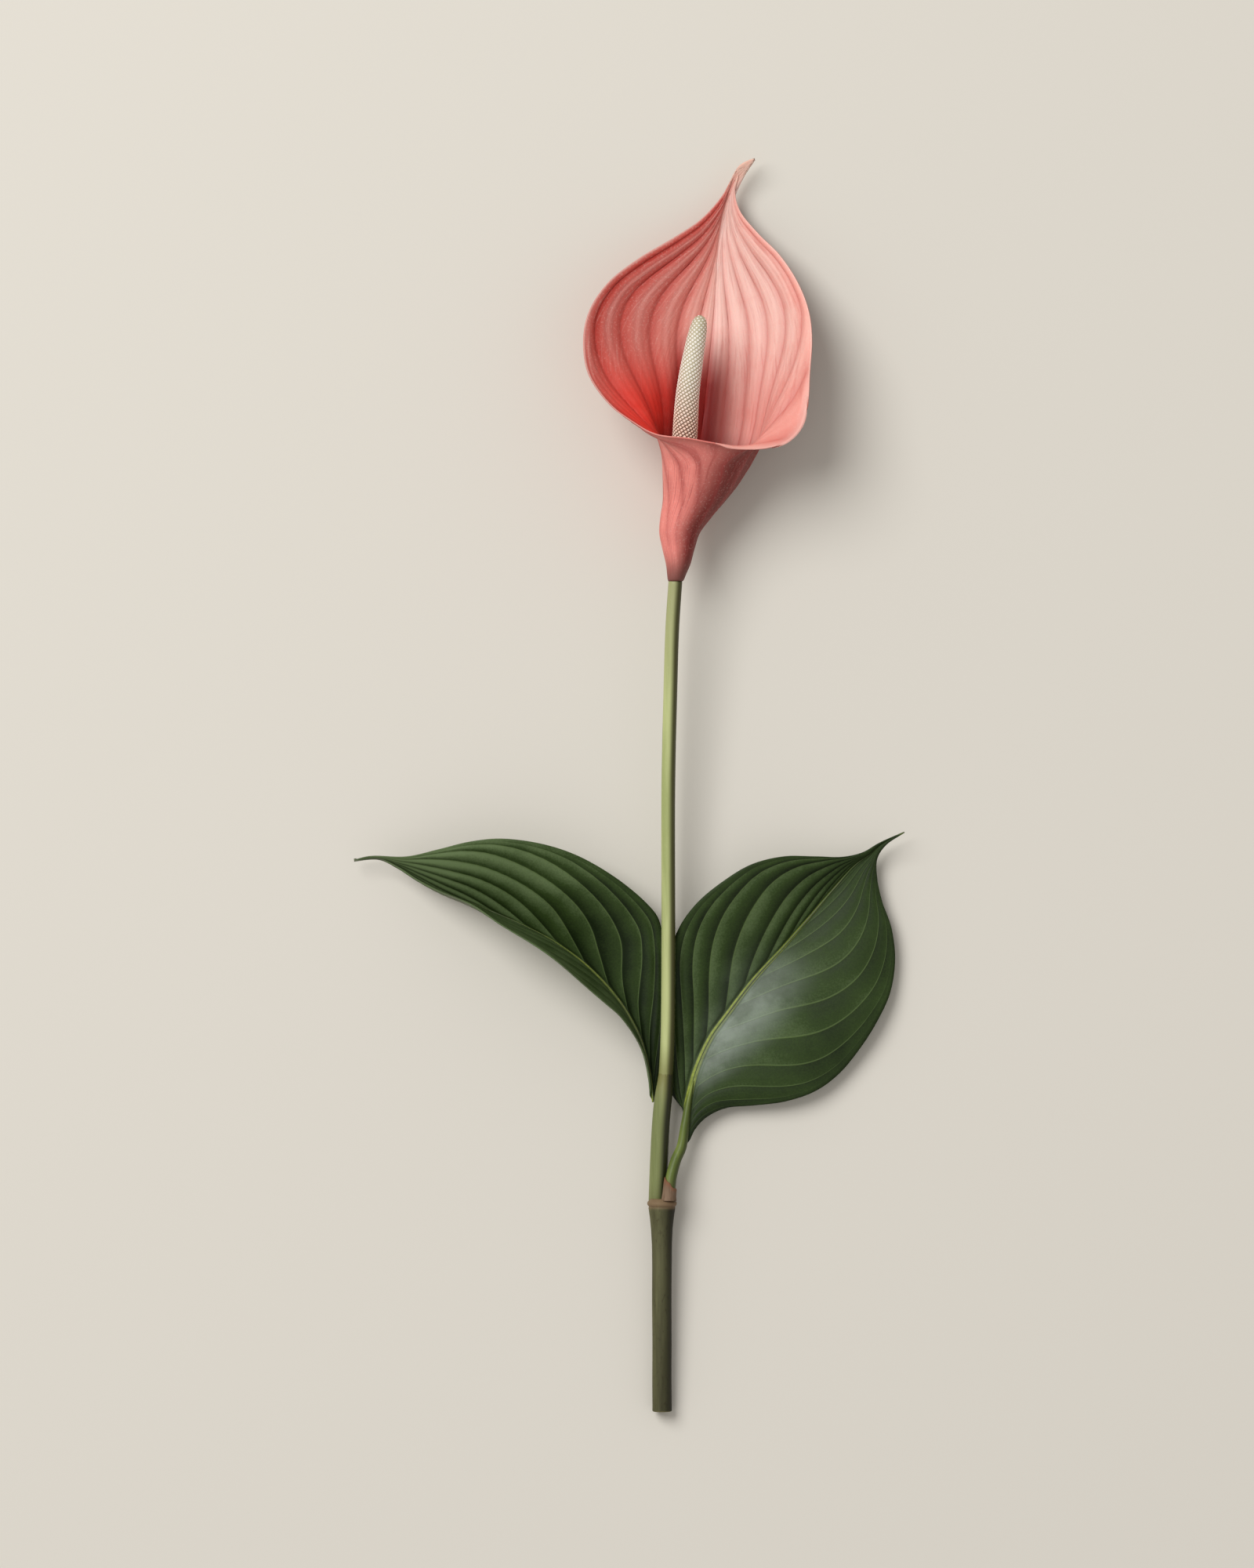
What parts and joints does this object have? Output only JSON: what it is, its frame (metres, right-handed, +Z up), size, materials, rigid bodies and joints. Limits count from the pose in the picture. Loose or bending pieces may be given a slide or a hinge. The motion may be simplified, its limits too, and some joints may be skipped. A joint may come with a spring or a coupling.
{
  "type": "cut anthurium stem",
  "caption": "Cut anthurium stem lying down: a woody cane, glossy green leaves, a slim flower stalk, and a coral hood with a pale spike.",
  "frame": {"origin": "middle of the underside of the whole stem's box, on the surface that it lies on", "axes": "+Y along the stem to the flower's tip, +Z up, away from the surface, +X to the side of the broad leaf"},
  "size_m": [0.2092, 0.4794, 0.0446],
  "materials": {
    "cane_bark": "matte",
    "sheath_green": "satin",
    "stalk_green": "satin",
    "leaf_stalk_green": "satin",
    "leaf_green": "satin",
    "dry_scale": "matte",
    "spathe_coral": "satin",
    "spadix_cream": "matte"
  },
  "bodies": {
    "root": {"cane": "cane_bark", "leaf_sheath": "sheath_green", "flower_stalk": "stalk_green", "leaf_stalk_right": "leaf_stalk_green", "leaf_blade_right": "leaf_green", "leaf_blade_left": "leaf_green", "foot_scale": "dry_scale", "spathe": "spathe_coral", "spadix": "spadix_cream"}
  },
  "joints": []
}
